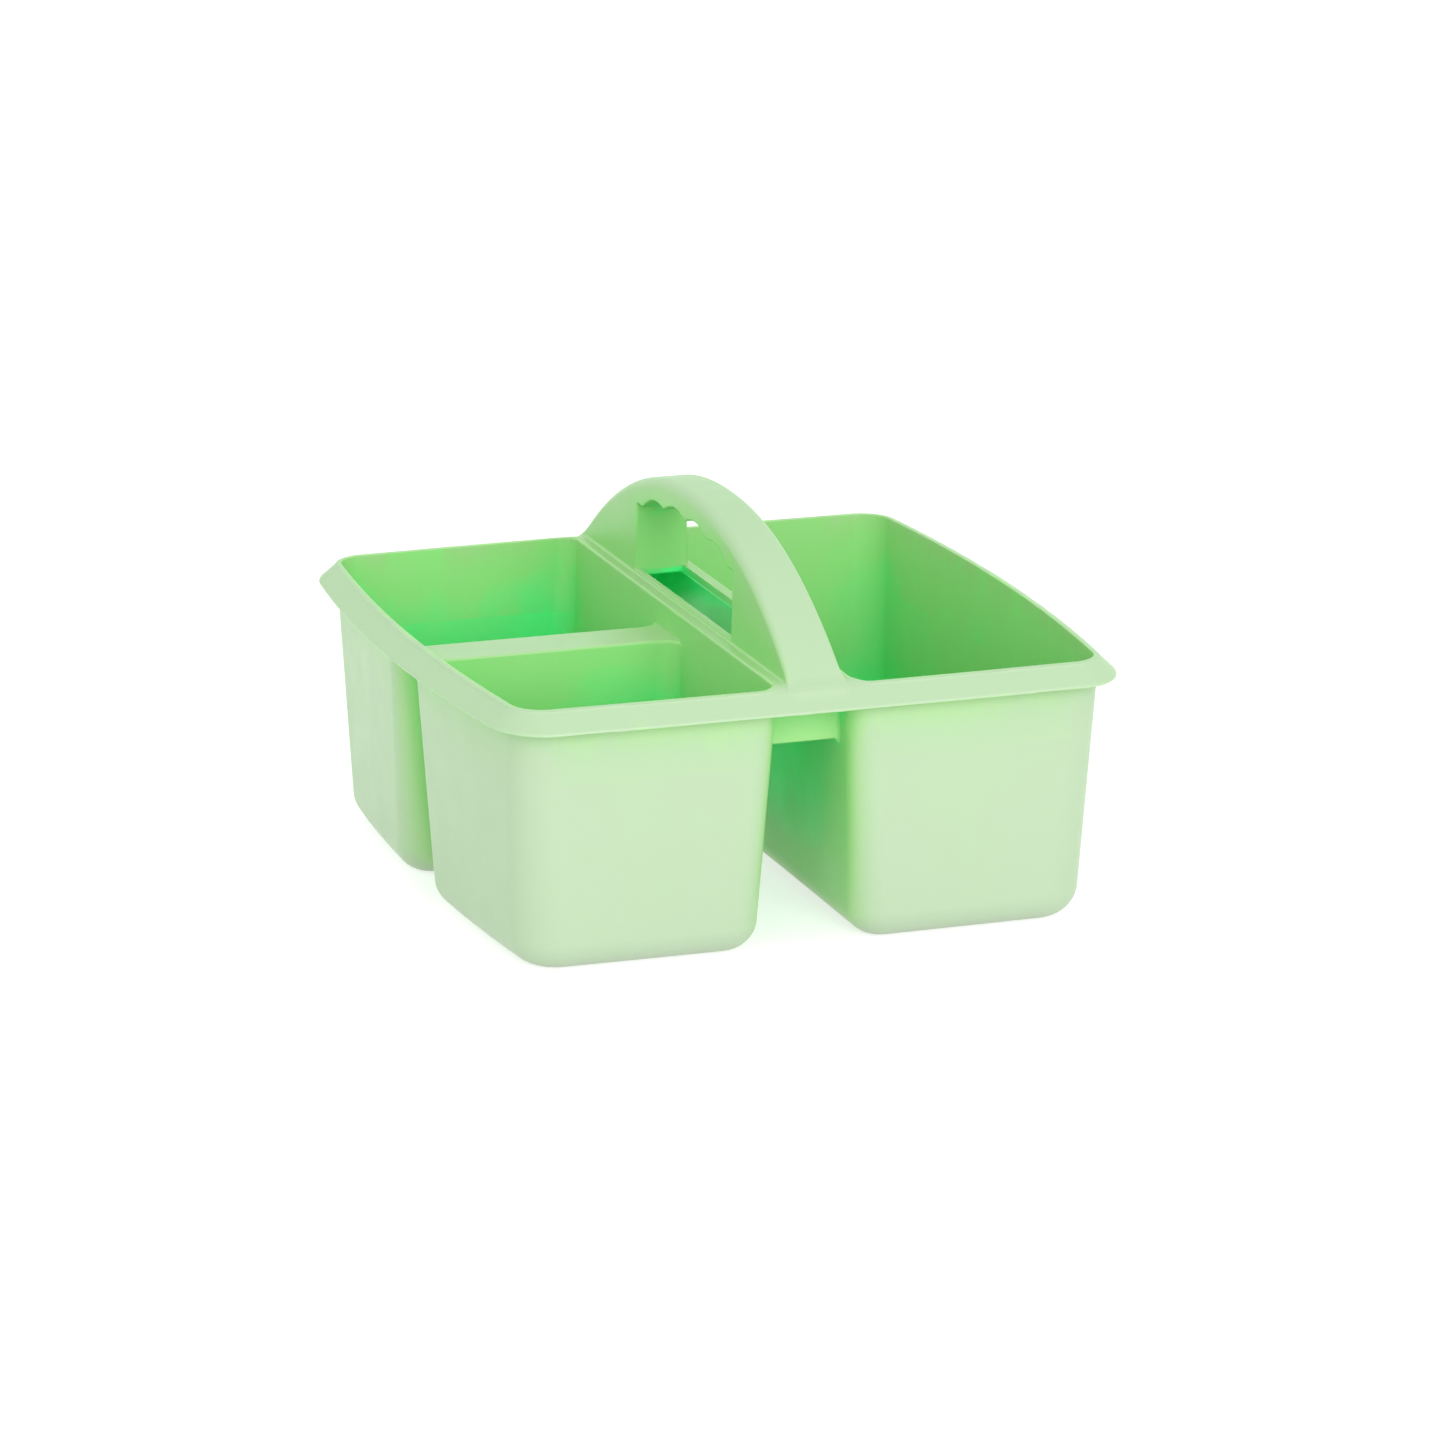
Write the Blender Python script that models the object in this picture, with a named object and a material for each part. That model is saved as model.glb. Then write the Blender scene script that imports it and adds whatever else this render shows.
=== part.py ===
"""Small handled cleaning caddy, injection moulded in one shot of polypropylene.

A tall bin fills the right half and two short bins share the left half.  A
flared rim runs round all three.  A hollow arched handle with a four-finger
opening stands over the open channel between the halves.  Each named object is
one section of the moulding, and neighbouring sections keep a hairline gap.

Frame: metres, +X to the side of the large bin, -Y to the front, +Z up, with
the origin on the floor below the middle of the caddy.  The dimensions below
are in millimetres.
"""

import math

import bmesh
import bpy

MM = 0.001

# Overall form
RIM_TOP = 93.2
HANDLE_TOP = 134.0
HALF_WIDTH = 101.6          # inner rim edge at the corners
HALF_DEPTH = 105.6
SIDE_BOW = 6.4              # how far the sides swell between the corners
FRONT_BOW = 1.0
WALL = 2.0
GAP = 0.3                   # hairline gap between neighbouring sections

# Bins
CHANNEL_EDGE = 14.0         # inner edge of the bins beside the channel
DRAFT = math.tan(math.radians(2.9))
FLOOR = 2.2
BOTTOM_ROUND = 10.0
OUTER_CORNER = 9.0          # corner radii of the inner face at the rim
CHANNEL_CORNER = 6.0
CORNER_OPENING = 4.0        # how much the corner radii grow towards the floor
EDGE_DROP = 1.4             # height of the rolled top edge of a bin
BIN_SHOULDER = 76.0         # the walls are plain drafted planes below this

# Saddle between the two small bins
DIVIDER_Y = 2.0
DIVIDER_HALF = 9.3
DIVIDER_TOP = 84.3
SADDLE_SHEET = 2.0

# Rim flange
RUN_FRONT = 9.4
RUN_SIDE = 8.0
FLANGE_TOP = 1.5            # drop of its upper face beside the bin wall
FLANGE_EDGE = 6.8           # drop of its upper face at the lip
FLANGE_DROP = 7.7
FLANGE_SHEET = 1.8

# Handle
WEB_FOOT = 9.9              # half width over the webs at the ledge
WEB_LEAN = 0.027
WEB_SHEET = 2.0
LEDGE_EDGE = 11.7
LEDGE_END = 99.7
UPSTAND = 1.5
ARCH_REACH = 108.7
ARCH_FOOT = 91.8
ARCH_POWER = 2.21
ARCH_BLEND = 0.95
ARCH_SHEET = 2.2
ARCH_LIP = 6.0
SHOULDER = 3.6
FOOT_START = 100.3
OPENING_HALF = 49.5
GRIP_DEPTH = 8.3
GRIP_SHEET = 2.0
FINGER_PITCH = 22.0
FINGER_GROOVE = 2.2

# Bridge walls between the two halves
BRIDGE_FACE = 93.0
BRIDGE_LOW = 69.4
BRIDGE_SHEET = 2.0

GREEN = (0.60, 0.79, 0.53)
ROUGHNESS = 0.38


def clear_scene():
    for obj in list(bpy.data.objects):
        bpy.data.objects.remove(obj, do_unlink=True)


def plastic(name):
    material = bpy.data.materials.new(name)
    material.use_nodes = True
    shader = material.node_tree.nodes["Principled BSDF"]
    shader.inputs["Base Color"].default_value = (*GREEN, 1.0)
    shader.inputs["Roughness"].default_value = ROUGHNESS
    shader.inputs["Metallic"].default_value = 0.0
    return material


def finish(bm, name, sharp=35.0):
    """Turn a closed bmesh in millimetres into a named, shaded object."""
    bmesh.ops.scale(bm, vec=(MM, MM, MM), verts=bm.verts)
    bmesh.ops.recalc_face_normals(bm, faces=bm.faces)
    mesh = bpy.data.meshes.new(name)
    bm.to_mesh(mesh)
    bm.free()
    mesh.shade_smooth()
    mesh.set_sharp_from_angle(angle=math.radians(sharp))
    mesh.materials.append(plastic(name + "_plastic"))
    obj = bpy.data.objects.new(name, mesh)
    bpy.context.scene.collection.objects.link(obj)
    return obj


def skin(name, rings):
    """Join successive closed rings of points with quads and cap both ends."""
    bm = bmesh.new()
    loops = [[bm.verts.new(point) for point in ring] for ring in rings]
    count = len(loops[0])
    for lower, upper in zip(loops, loops[1:]):
        for i in range(count):
            j = (i + 1) % count
            bm.faces.new((lower[i], lower[j], upper[j], upper[i]))
    bm.faces.new(list(reversed(loops[0])))
    bm.faces.new(loops[-1])
    return finish(bm, name)


def lerp(a, b, t):
    return a + (b - a) * t


def bulge(x, y):
    """Swell the outer sides of the plan and leave the channel walls straight."""
    reach_x = max(0.0, (abs(x) - CHANNEL_EDGE) / (HALF_WIDTH - CHANNEL_EDGE))
    reach_y = max(0.0, (abs(y) - 20.0) / (HALF_DEPTH - 20.0))
    swell_x = SIDE_BOW * reach_x * max(0.0, 1.0 - (y / HALF_DEPTH) ** 2)
    swell_y = FRONT_BOW * reach_y * max(0.0, 1.0 - (x / HALF_WIDTH) ** 2)
    return x + math.copysign(swell_x, x), y + math.copysign(swell_y, y)


# Bins

def outline(x0, x1, y0, y1, radii, arc=5, side=6):
    """Rounded rectangle, counter-clockwise from the front left corner."""
    corners = ((x0, y0, 180.0), (x1, y0, 270.0), (x1, y1, 0.0), (x0, y1, 90.0))
    arcs = []
    for (cx, cy, start), radius in zip(corners, radii):
        mx = cx + math.copysign(radius, (x0 + x1) / 2 - cx)
        my = cy + math.copysign(radius, (y0 + y1) / 2 - cy)
        angles = [math.radians(start + 90.0 * k / arc) for k in range(arc + 1)]
        arcs.append([(mx + radius * math.cos(a), my + radius * math.sin(a))
                     for a in angles])
    points = []
    for here, after in zip(arcs, arcs[1:] + arcs[:1]):
        points.extend(here)
        for k in range(1, side):
            t = k / side
            points.append((lerp(here[-1][0], after[0][0], t),
                           lerp(here[-1][1], after[0][1], t)))
    return points


def bin_ring(box, radii, z, inset, top=None):
    """One ring of a bin; the inset is measured from the drafted inner face."""
    x0, x1, y0, y1 = box
    shrink = inset + (RIM_TOP - z) * DRAFT
    grown = CORNER_OPENING * (1.0 - z / RIM_TOP)
    corner = [max(r + grown - inset, 0.6) for r in radii]
    ring = []
    for x, y in outline(x0 + shrink, x1 - shrink, y0 + shrink, y1 - shrink, corner):
        ring.append((*bulge(x, y), top(y, z) if top else z))
    return ring


def make_bin(name, box, radii, top=None):
    """Open bin: outer skin, rolled top edge and inner skin in one closed body."""
    steps = 5
    turns = [math.radians(90.0 * k / steps) for k in range(steps + 1)]
    inner_round = BOTTOM_ROUND - WALL
    rings = []
    for a in turns:
        z = BOTTOM_ROUND * (1.0 - math.cos(a))
        inset = BOTTOM_ROUND * (1.0 - math.sin(a)) - WALL
        rings.append(bin_ring(box, radii, z, inset))
    rings.append(bin_ring(box, radii, BIN_SHOULDER, -WALL))
    edge = ((-WALL, EDGE_DROP), (-1.2, 0.6), (-0.7, 0.1), (-0.3, 0.1), (0.0, 0.7))
    for inset, below in edge:
        rings.append(bin_ring(box, radii, RIM_TOP - below, inset, top))
    rings.append(bin_ring(box, radii, BIN_SHOULDER, 0.0))
    for a in reversed(turns):
        z = FLOOR + inner_round * (1.0 - math.cos(a))
        inset = inner_round * (1.0 - math.sin(a))
        rings.append(bin_ring(box, radii, z, inset))
    return skin(name, rings)


def make_bins():
    """One full-depth bin on the right and two half-depth bins on the left."""
    front_edge = DIVIDER_Y - DIVIDER_HALF
    rear_edge = DIVIDER_Y + DIVIDER_HALF
    sunk = RIM_TOP - (DIVIDER_TOP - SADDLE_SHEET - GAP)
    plain = CHANNEL_CORNER - 0.8

    def front_top(y, z):
        return z - sunk if y > front_edge - plain else z

    def rear_top(y, z):
        return z - sunk if y < rear_edge + plain else z

    far = OUTER_CORNER
    near = CHANNEL_CORNER
    make_bin("large_bin", (CHANNEL_EDGE, HALF_WIDTH, -HALF_DEPTH, HALF_DEPTH),
             (near, far, far, near))
    make_bin("front_small_bin", (-HALF_WIDTH, -CHANNEL_EDGE, -HALF_DEPTH, front_edge),
             (far, near, near, near), front_top)
    make_bin("rear_small_bin", (-HALF_WIDTH, -CHANNEL_EDGE, rear_edge, HALF_DEPTH),
             (near, near, near, far), rear_top)


# Divider

def make_divider_saddle():
    """Flat strip over the two facing walls of the small bins, flared at its ends."""
    radius = CHANNEL_CORNER
    left = -HALF_WIDTH + GAP
    right = -CHANNEL_EDGE - GAP
    angles = [math.radians(20.0 + 70.0 * k / 4) for k in range(5)]
    half = []
    for a in angles:
        half.append((left - GAP + radius - radius * math.cos(a),
                     DIVIDER_HALF + radius - radius * math.sin(a)))
    for a in reversed(angles):
        half.append((right + GAP - radius + radius * math.cos(a),
                     DIVIDER_HALF + radius - radius * math.sin(a)))
    rear = [(max(left, min(right, x)), DIVIDER_Y + y) for x, y in half]
    front = [(x, 2 * DIVIDER_Y - y) for x, y in reversed(rear)]
    plan = [bulge(x, y) for x, y in front + rear]
    low = DIVIDER_TOP - SADDLE_SHEET
    skin("divider_saddle", [[(x, y, z) for x, y in plan]
                            for z in (low, DIVIDER_TOP - 0.4, DIVIDER_TOP)])


def make_divider_end(name, x_in, x_out):
    """Short length of bin wall that closes the rim above one end of the saddle."""
    reach = DIVIDER_HALF + CHANNEL_CORNER * 0.6
    rings = []
    for k in range(5):
        y = DIVIDER_Y + reach * (k / 2 - 1.0)
        ring = []
        for x, z in ((x_in, DIVIDER_TOP + GAP), (x_out, DIVIDER_TOP + GAP),
                     (x_out, RIM_TOP - EDGE_DROP), (lerp(x_out, x_in, 0.4), RIM_TOP - 0.4),
                     (lerp(x_out, x_in, 0.75), RIM_TOP), (x_in, RIM_TOP - 0.6)):
            ring.append((bulge(x, y)[0], y, z))
        rings.append(ring)
    skin(name, rings)


# Rim

def rim_path(run_x, run_y):
    """Plan of the rim at one distance outside the inner edge, as eight spans."""
    x = HALF_WIDTH + run_x
    y = HALF_DEPTH + run_y
    radius = OUTER_CORNER + (run_x + run_y) / 2
    arc = 6
    side = 10
    points = outline(-x, x, -y, y, [radius] * 4, arc, side)
    spans = []
    step = arc + side
    for i in range(4):
        spans.append(points[i * step:i * step + arc + 1])
        ring = points + points[:1]
        spans.append(ring[i * step + arc:(i + 1) * step + 1])
    return spans


def trimmed(span):
    """Shorten a straight span by the hairline gap at both ends."""
    length = math.dist(span[0], span[-1])
    t = GAP / length
    first = (lerp(span[0][0], span[-1][0], t), lerp(span[0][1], span[-1][1], t))
    last = (lerp(span[-1][0], span[0][0], t), lerp(span[-1][1], span[0][1], t))
    return [first] + span[1:-1] + [last]


def make_rim():
    """Flange sloping out and down from the top of the bin walls."""
    start = WALL + GAP
    section = ((start, start, FLANGE_TOP),
               (RUN_SIDE - 0.3, RUN_FRONT - 0.3, FLANGE_EDGE - 0.3),
               (RUN_SIDE, RUN_FRONT, FLANGE_EDGE),
               (RUN_SIDE, RUN_FRONT, FLANGE_DROP),
               (RUN_SIDE - 1.0, RUN_FRONT - 1.0, FLANGE_DROP),
               (start, start, FLANGE_TOP + FLANGE_SHEET))
    names = ("rim_corner_front_left", "rim_front", "rim_corner_front_right", "rim_right",
             "rim_corner_rear_right", "rim_rear", "rim_corner_rear_left", "rim_left")
    paths = [rim_path(run_x, run_y) for run_x, run_y, _ in section]
    for index, name in enumerate(names):
        spans = [path[index] for path in paths]
        if index % 2:
            spans = [trimmed(span) for span in spans]
        rings = []
        for k in range(len(spans[0])):
            ring = []
            for span, (_, _, drop) in zip(spans, section):
                ring.append((*bulge(*span[k]), RIM_TOP - drop))
            rings.append(ring)
        skin(name, rings)


# Handle

def arch_height(y):
    s = min(abs(y) / ARCH_REACH, 1.0)
    return ARCH_FOOT + (HANDLE_TOP - ARCH_FOOT) * (1.0 - s ** ARCH_POWER) ** ARCH_BLEND


def web_half(z):
    """Half width over the outer faces of the webs, which lean in as they rise."""
    return WEB_FOOT - (z - RIM_TOP) * WEB_LEAN


def grip_height(y):
    """Underside of the grip: follows the arch, with a round groove per finger."""
    phase = (y / FINGER_PITCH) % 1.0
    ridge = FINGER_GROOVE * (1.0 - math.sin(math.pi * phase))
    return arch_height(y) - GRIP_DEPTH - ridge


def spaced(first, last, count):
    return [lerp(first, last, k / (count - 1)) for k in range(count)]


def make_ledge(name, sign):
    """Narrow shelf from the bin wall to the web, with a low upstand."""
    inner = WEB_FOOT - WEB_SHEET
    low = RIM_TOP - WALL
    section = ((LEDGE_EDGE, low), (inner, low), (inner, RIM_TOP + UPSTAND),
               (WEB_FOOT, RIM_TOP + UPSTAND), (WEB_FOOT, RIM_TOP), (LEDGE_EDGE, RIM_TOP))
    skin(name, [[(sign * x, y, z) for x, z in section] for y in (-LEDGE_END, LEDGE_END)])


def web_profile():
    """Outline of a web: arched above, with the scalloped finger opening below."""
    foot = RIM_TOP + UPSTAND + GAP
    rise = (foot + 0.6 + ARCH_LIP + GAP - ARCH_FOOT) / (HANDLE_TOP - ARCH_FOOT)
    reach = ARCH_REACH * (1.0 - rise ** (1.0 / ARCH_BLEND)) ** (1.0 / ARCH_POWER)
    points = [(-reach, foot)]
    points += [(y, arch_height(y) - ARCH_LIP - GAP) for y in spaced(-reach, reach, 33)]
    points += [(reach, foot), (OPENING_HALF, foot)]
    points += [(y, grip_height(y)) for y in spaced(OPENING_HALF, -OPENING_HALF, 46)]
    points.append((-OPENING_HALF, foot))
    return points


def make_web(name, sign):
    profile = web_profile()
    skin(name, [[(sign * (web_half(z) - depth), y, z) for y, z in profile]
                for depth in (0.0, WEB_SHEET)])


def arch_section(y):
    """Inverted U with rounded shoulders, spreading into the rim at its feet."""
    top = arch_height(y)
    run = max(0.0, abs(y) - FOOT_START) / (ARCH_REACH - FOOT_START)
    if abs(y) < FOOT_START:
        low = max(top - ARCH_LIP, RIM_TOP + UPSTAND + GAP)
    else:
        low = min(RIM_TOP - WALL, top - ARCH_SHEET - 0.5)
    outer = web_half(top) + (LEDGE_EDGE - WEB_FOOT) * run ** 2
    base = web_half(low) + (LEDGE_EDGE - WEB_FOOT) * run ** 2
    radius = min(lerp(SHOULDER, 1.4, (abs(y) / ARCH_REACH) ** 3), top - low - 0.1)
    right = [(base, low)]
    for a in (0.0, 22.5, 45.0, 67.5, 90.0):
        turn = math.radians(a)
        right.append((outer - radius + radius * math.cos(turn),
                      top - radius + radius * math.sin(turn)))
    inner = [(outer - SHOULDER, top - ARCH_SHEET),
             (outer - WEB_SHEET, top - ARCH_SHEET - 0.3 * (top - ARCH_SHEET - low)),
             (base - WEB_SHEET, low)]
    left = [(-x, z) for x, z in reversed(right)]
    under = [(-x, z) for x, z in reversed(inner)] + inner
    return [(x, y, z) for x, z in right + left + under]


def make_arch():
    stations = spaced(-LEDGE_END - 0.1, LEDGE_END + 0.1, 45)
    foot = [FOOT_START + 0.05, 103.0, 105.5, 107.2, ARCH_REACH - 0.2]
    stations = [-y for y in reversed(foot)] + stations + foot
    skin("handle_arch", [arch_section(y) for y in stations])


def make_grip():
    """Wavy panel that closes the grip between the webs."""
    rings = []
    for y in spaced(-OPENING_HALF + GAP, OPENING_HALF - GAP, 46):
        low = grip_height(y)
        high = low + GRIP_SHEET
        half_low = web_half(low) - WEB_SHEET - GAP
        half_high = web_half(high) - WEB_SHEET - GAP
        rings.append([(-half_low, y, low), (half_low, y, low),
                      (half_high, y, high), (-half_high, y, high)])
    skin("handle_grip", rings)


def make_opening_wall(name, sign):
    """Cross wall that closes one end of the finger opening."""
    top = grip_height(OPENING_HALF) + GRIP_SHEET
    rings = []
    for z in (RIM_TOP - WALL, top):
        half = web_half(z) - WEB_SHEET - GAP
        rings.append([(-half, sign * OPENING_HALF, z), (half, sign * OPENING_HALF, z),
                      (half, sign * (OPENING_HALF + WALL), z),
                      (-half, sign * (OPENING_HALF + WALL), z)])
    skin(name, rings)


def make_bridge(name, sign):
    """Cross wall under the handle foot that ties the two halves together."""
    levels = ((BRIDGE_LOW, 0.6), (BRIDGE_LOW + 0.6, 0.0), (RIM_TOP - WALL - GAP, 0.0))
    rings = []
    for z, ease in levels:
        half = CHANNEL_EDGE - WALL + (RIM_TOP - z) * DRAFT - GAP
        face = BRIDGE_FACE - ease
        back = BRIDGE_FACE - BRIDGE_SHEET + ease
        rings.append([(-half, sign * face, z), (half, sign * face, z),
                      (half, sign * back, z), (-half, sign * back, z)])
    skin(name, rings)


def make_handle():
    make_ledge("ledge_left", -1)
    make_ledge("ledge_right", 1)
    make_web("handle_web_left", -1)
    make_web("handle_web_right", 1)
    make_arch()
    make_grip()
    make_opening_wall("opening_wall_front", -1)
    make_opening_wall("opening_wall_rear", 1)
    make_bridge("bridge_wall_front", -1)
    make_bridge("bridge_wall_rear", 1)


clear_scene()
make_bins()
make_divider_saddle()
make_divider_end("divider_end_outer", -HALF_WIDTH, -HALF_WIDTH - WALL)
make_divider_end("divider_end_channel", -CHANNEL_EDGE, -CHANNEL_EDGE + WALL)
make_rim()
make_handle()
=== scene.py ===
"""Looks of the small handled cleaning caddy: one satin polypropylene moulding.

The moulding is described once, as a signed distance in millimetres with the
radii that a mould needs.  The plain lower walls of the bins are lofted from the
same rules, and everything above them is meshed from the distance itself, so the
rim, the ledges, the saddle and the handle run into each other without a seam.
"""

import math
from concurrent.futures import ThreadPoolExecutor

import bmesh
import bpy
import numpy as np
from mathutils import Matrix, Vector
from mathutils.geometry import delaunay_2d_cdt


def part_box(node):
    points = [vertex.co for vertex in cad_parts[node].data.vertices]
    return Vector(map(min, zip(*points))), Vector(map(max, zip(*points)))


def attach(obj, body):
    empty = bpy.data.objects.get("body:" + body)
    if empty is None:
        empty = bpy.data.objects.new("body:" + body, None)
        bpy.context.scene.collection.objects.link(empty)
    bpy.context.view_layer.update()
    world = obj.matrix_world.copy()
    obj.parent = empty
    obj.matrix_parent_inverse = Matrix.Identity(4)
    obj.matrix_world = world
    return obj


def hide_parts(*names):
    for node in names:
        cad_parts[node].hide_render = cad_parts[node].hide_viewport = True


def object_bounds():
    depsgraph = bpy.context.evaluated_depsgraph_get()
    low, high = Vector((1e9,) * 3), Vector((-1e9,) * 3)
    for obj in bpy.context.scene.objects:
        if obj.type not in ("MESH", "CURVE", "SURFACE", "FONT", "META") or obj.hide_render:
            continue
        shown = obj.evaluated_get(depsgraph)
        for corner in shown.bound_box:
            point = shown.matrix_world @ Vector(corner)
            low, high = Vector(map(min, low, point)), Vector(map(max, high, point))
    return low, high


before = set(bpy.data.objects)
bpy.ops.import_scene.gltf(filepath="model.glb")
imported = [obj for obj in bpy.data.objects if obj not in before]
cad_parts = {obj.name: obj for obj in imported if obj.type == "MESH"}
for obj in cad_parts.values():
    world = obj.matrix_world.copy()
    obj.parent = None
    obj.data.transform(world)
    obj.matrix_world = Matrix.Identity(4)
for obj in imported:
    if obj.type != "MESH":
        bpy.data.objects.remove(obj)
cad_low, cad_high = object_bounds()

MM = 0.001


def top_of(node):
    """Height of a CAD body's top, in millimetres."""
    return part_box(node)[1][2] / MM


def low_of(node):
    """Height of a CAD body's underside, in millimetres."""
    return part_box(node)[0][2] / MM


# Overall form, in millimetres
WALL = 2.0
UPSTAND = 1.5                                  # low wall along each ledge
RIM_TOP = top_of("ledge_left") - UPSTAND
HANDLE_TOP = top_of("handle_arch")
HALF_WIDTH = 101.6                             # inner edge of the rim
HALF_DEPTH = 105.6
SIDE_BOW = 6.4                                 # swell of the sides between corners
FRONT_BOW = 1.0
BOW_START = 20.0
BOW_EASE = 0.06                                # lets the swell fade out smoothly

# Bins
CHANNEL_EDGE = 14.0
DRAFT = math.tan(math.radians(2.9))
FLOOR = 2.2
BOTTOM_ROUND = 10.0
OUTER_CORNER = 9.0
CHANNEL_CORNER = 6.0
CORNER_OPENING = 4.0
LOFT_TOP = 66.0                                # plain walls below, the rest above

# Divider between the small bins
DIVIDER_Y = 2.0
DIVIDER_HALF = 9.3
DIVIDER_TOP = 84.3
SADDLE_SHEET = 2.0

# Rim flange: distance outside the inner edge, and height below the rim
RUN_SIDE = 8.0
RUN_FRONT = 9.4
FLANGE_START = 2.3
FLANGE_START_DROP = 1.5
FLANGE_EDGE_DROP = 6.8
FLANGE_LOW_DROP = 7.7
FLANGE_SHEET = 1.8
LIP = 1.0
WALLS_STOP = 1.0                               # bin walls end inside the rim's plate

# Handle
WEB_HALF = 9.9
WEB_LEAN = 0.027
ARCH_REACH = 108.7
ARCH_FOOT = 91.8
ARCH_POWER = 2.21
ARCH_BLEND = 0.95
ARCH_SHEET = 2.2
LEAST_STEEPNESS = 0.012                        # of the arch rule, per millimetre
SHOULDER = 3.6
FOOT_SHOULDER = 1.4
FOOT_START = 100.3
FOOT_FLARE = 1.8
MAX_SPREAD = 1.2                               # the flare goes on past the foot's end
HANDLE_SINK = 0.6                              # the handle's body reaches into the rim
SLOT_END = 104.0
HOLLOW_SINK = 0.3                              # the hollow breaks through the rim plate
OPENING_HALF = 49.5
LINING_SINK = 1.2                              # how far the lining reaches into walls
GRIP_DEPTH = 8.3
FINGER_PITCH = 22.0
FINGER_GROOVE = 2.2

# Bridge walls
BRIDGE_MIDDLE = 92.0
BRIDGE_LOW = low_of("bridge_wall_front")

# Radii of the edges and fillets
EDGE_ROUND = 0.9
LIP_ROUND = 0.4
LIP_LOW_ROUND = LIP_ROUND * 0.8
UNDER_ROUND = LIP_ROUND * 0.7
HOLLOW_ROUND = 1.6
BRIDGE_EDGE_ROUND = 0.9
RIM_CROWN = 2.2
SADDLE_ROUND = 1.0
WINDOW_ROUND = 0.6
WALL_FILLET = 1.0
BRIDGE_FILLET = 2.0
FOOT_FILLET = 4.0

LARGE = ((CHANNEL_EDGE, HALF_WIDTH, -HALF_DEPTH, HALF_DEPTH),
         (CHANNEL_CORNER, OUTER_CORNER, OUTER_CORNER, CHANNEL_CORNER))
FRONT_SMALL = ((-HALF_WIDTH, -CHANNEL_EDGE, -HALF_DEPTH, DIVIDER_Y - DIVIDER_HALF),
               (OUTER_CORNER, CHANNEL_CORNER, CHANNEL_CORNER, CHANNEL_CORNER))
REAR_SMALL = ((-HALF_WIDTH, -CHANNEL_EDGE, DIVIDER_Y + DIVIDER_HALF, HALF_DEPTH),
              (CHANNEL_CORNER, CHANNEL_CORNER, CHANNEL_CORNER, OUTER_CORNER))
LEFT_HALF = ((-HALF_WIDTH, -CHANNEL_EDGE, -HALF_DEPTH, HALF_DEPTH),
             (OUTER_CORNER, CHANNEL_CORNER, CHANNEL_CORNER, OUTER_CORNER))
WHOLE_RIM = ((-HALF_WIDTH, HALF_WIDTH, -HALF_DEPTH, HALF_DEPTH), (OUTER_CORNER,) * 4)


# Distance rules

def meet(a, b, radius):
    """Intersection of two solids with a rounded edge."""
    corner = np.hypot(np.maximum(a + radius, 0.0), np.maximum(b + radius, 0.0))
    return np.minimum(np.maximum(a, b), -radius) + corner


def join(a, b, radius):
    """Union of two solids with a fillet."""
    corner = np.hypot(np.maximum(radius - a, 0.0), np.maximum(radius - b, 0.0))
    return np.maximum(np.minimum(a, b), radius) - corner


def bow(at, half, swell, span):
    """Swell per millimetre of reach, fading to nothing at the corners."""
    w = 1.0 - (at / half) ** 2
    return swell / span * 0.5 * (w + np.sqrt(w * w + BOW_EASE ** 2))


def unbow(x, y):
    """Plan position before the sides were swelled."""
    far_x, far_y = np.abs(x), np.abs(y)
    u, v = far_x, far_y
    for _ in range(2):
        by = bow(v, HALF_DEPTH, SIDE_BOW, HALF_WIDTH - CHANNEL_EDGE)
        bx = bow(u, HALF_WIDTH, FRONT_BOW, HALF_DEPTH - BOW_START)
        u = np.where(far_x > CHANNEL_EDGE, (far_x + CHANNEL_EDGE * by) / (1.0 + by), far_x)
        v = np.where(far_y > BOW_START, (far_y + BOW_START * bx) / (1.0 + bx), far_y)
    return np.copysign(u, x), np.copysign(v, y)


def enbow(x, y):
    """Plan position after the sides are swelled."""
    by = bow(y, HALF_DEPTH, SIDE_BOW, HALF_WIDTH - CHANNEL_EDGE)
    bx = bow(x, HALF_WIDTH, FRONT_BOW, HALF_DEPTH - BOW_START)
    u = np.abs(x) + by * np.maximum(np.abs(x) - CHANNEL_EDGE, 0.0)
    v = np.abs(y) + bx * np.maximum(np.abs(y) - BOW_START, 0.0)
    return np.copysign(u, x), np.copysign(v, y)


def plan_distance(x, y, shape, shrink=0.0, grown=0.0):
    """Distance outside a rectangle whose four corners have their own radii.

    Shrink moves the sides inward, and grown adds to every corner radius.
    """
    (x0, x1, y0, y1), (front_left, front_right, rear_right, rear_left) = shape
    mid_x, mid_y = (x0 + x1) / 2.0, (y0 + y1) / 2.0
    radius = grown + np.where(y < mid_y, np.where(x < mid_x, front_left, front_right),
                              np.where(x < mid_x, rear_left, rear_right))
    dx = np.abs(x - mid_x) - (x1 - x0) / 2.0 + shrink + radius
    dy = np.abs(y - mid_y) - (y1 - y0) / 2.0 + shrink + radius
    outside = np.hypot(np.maximum(dx, 0.0), np.maximum(dy, 0.0))
    return np.minimum(np.maximum(dx, dy), 0.0) + outside - radius


def wall_distance(x, y, z, shape):
    """Distance outside the drafted inner faces of a bin."""
    rise = np.maximum(RIM_TOP - z, 0.0)
    return plan_distance(x, y, shape, rise * DRAFT, CORNER_OPENING * rise / RIM_TOP)


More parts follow.
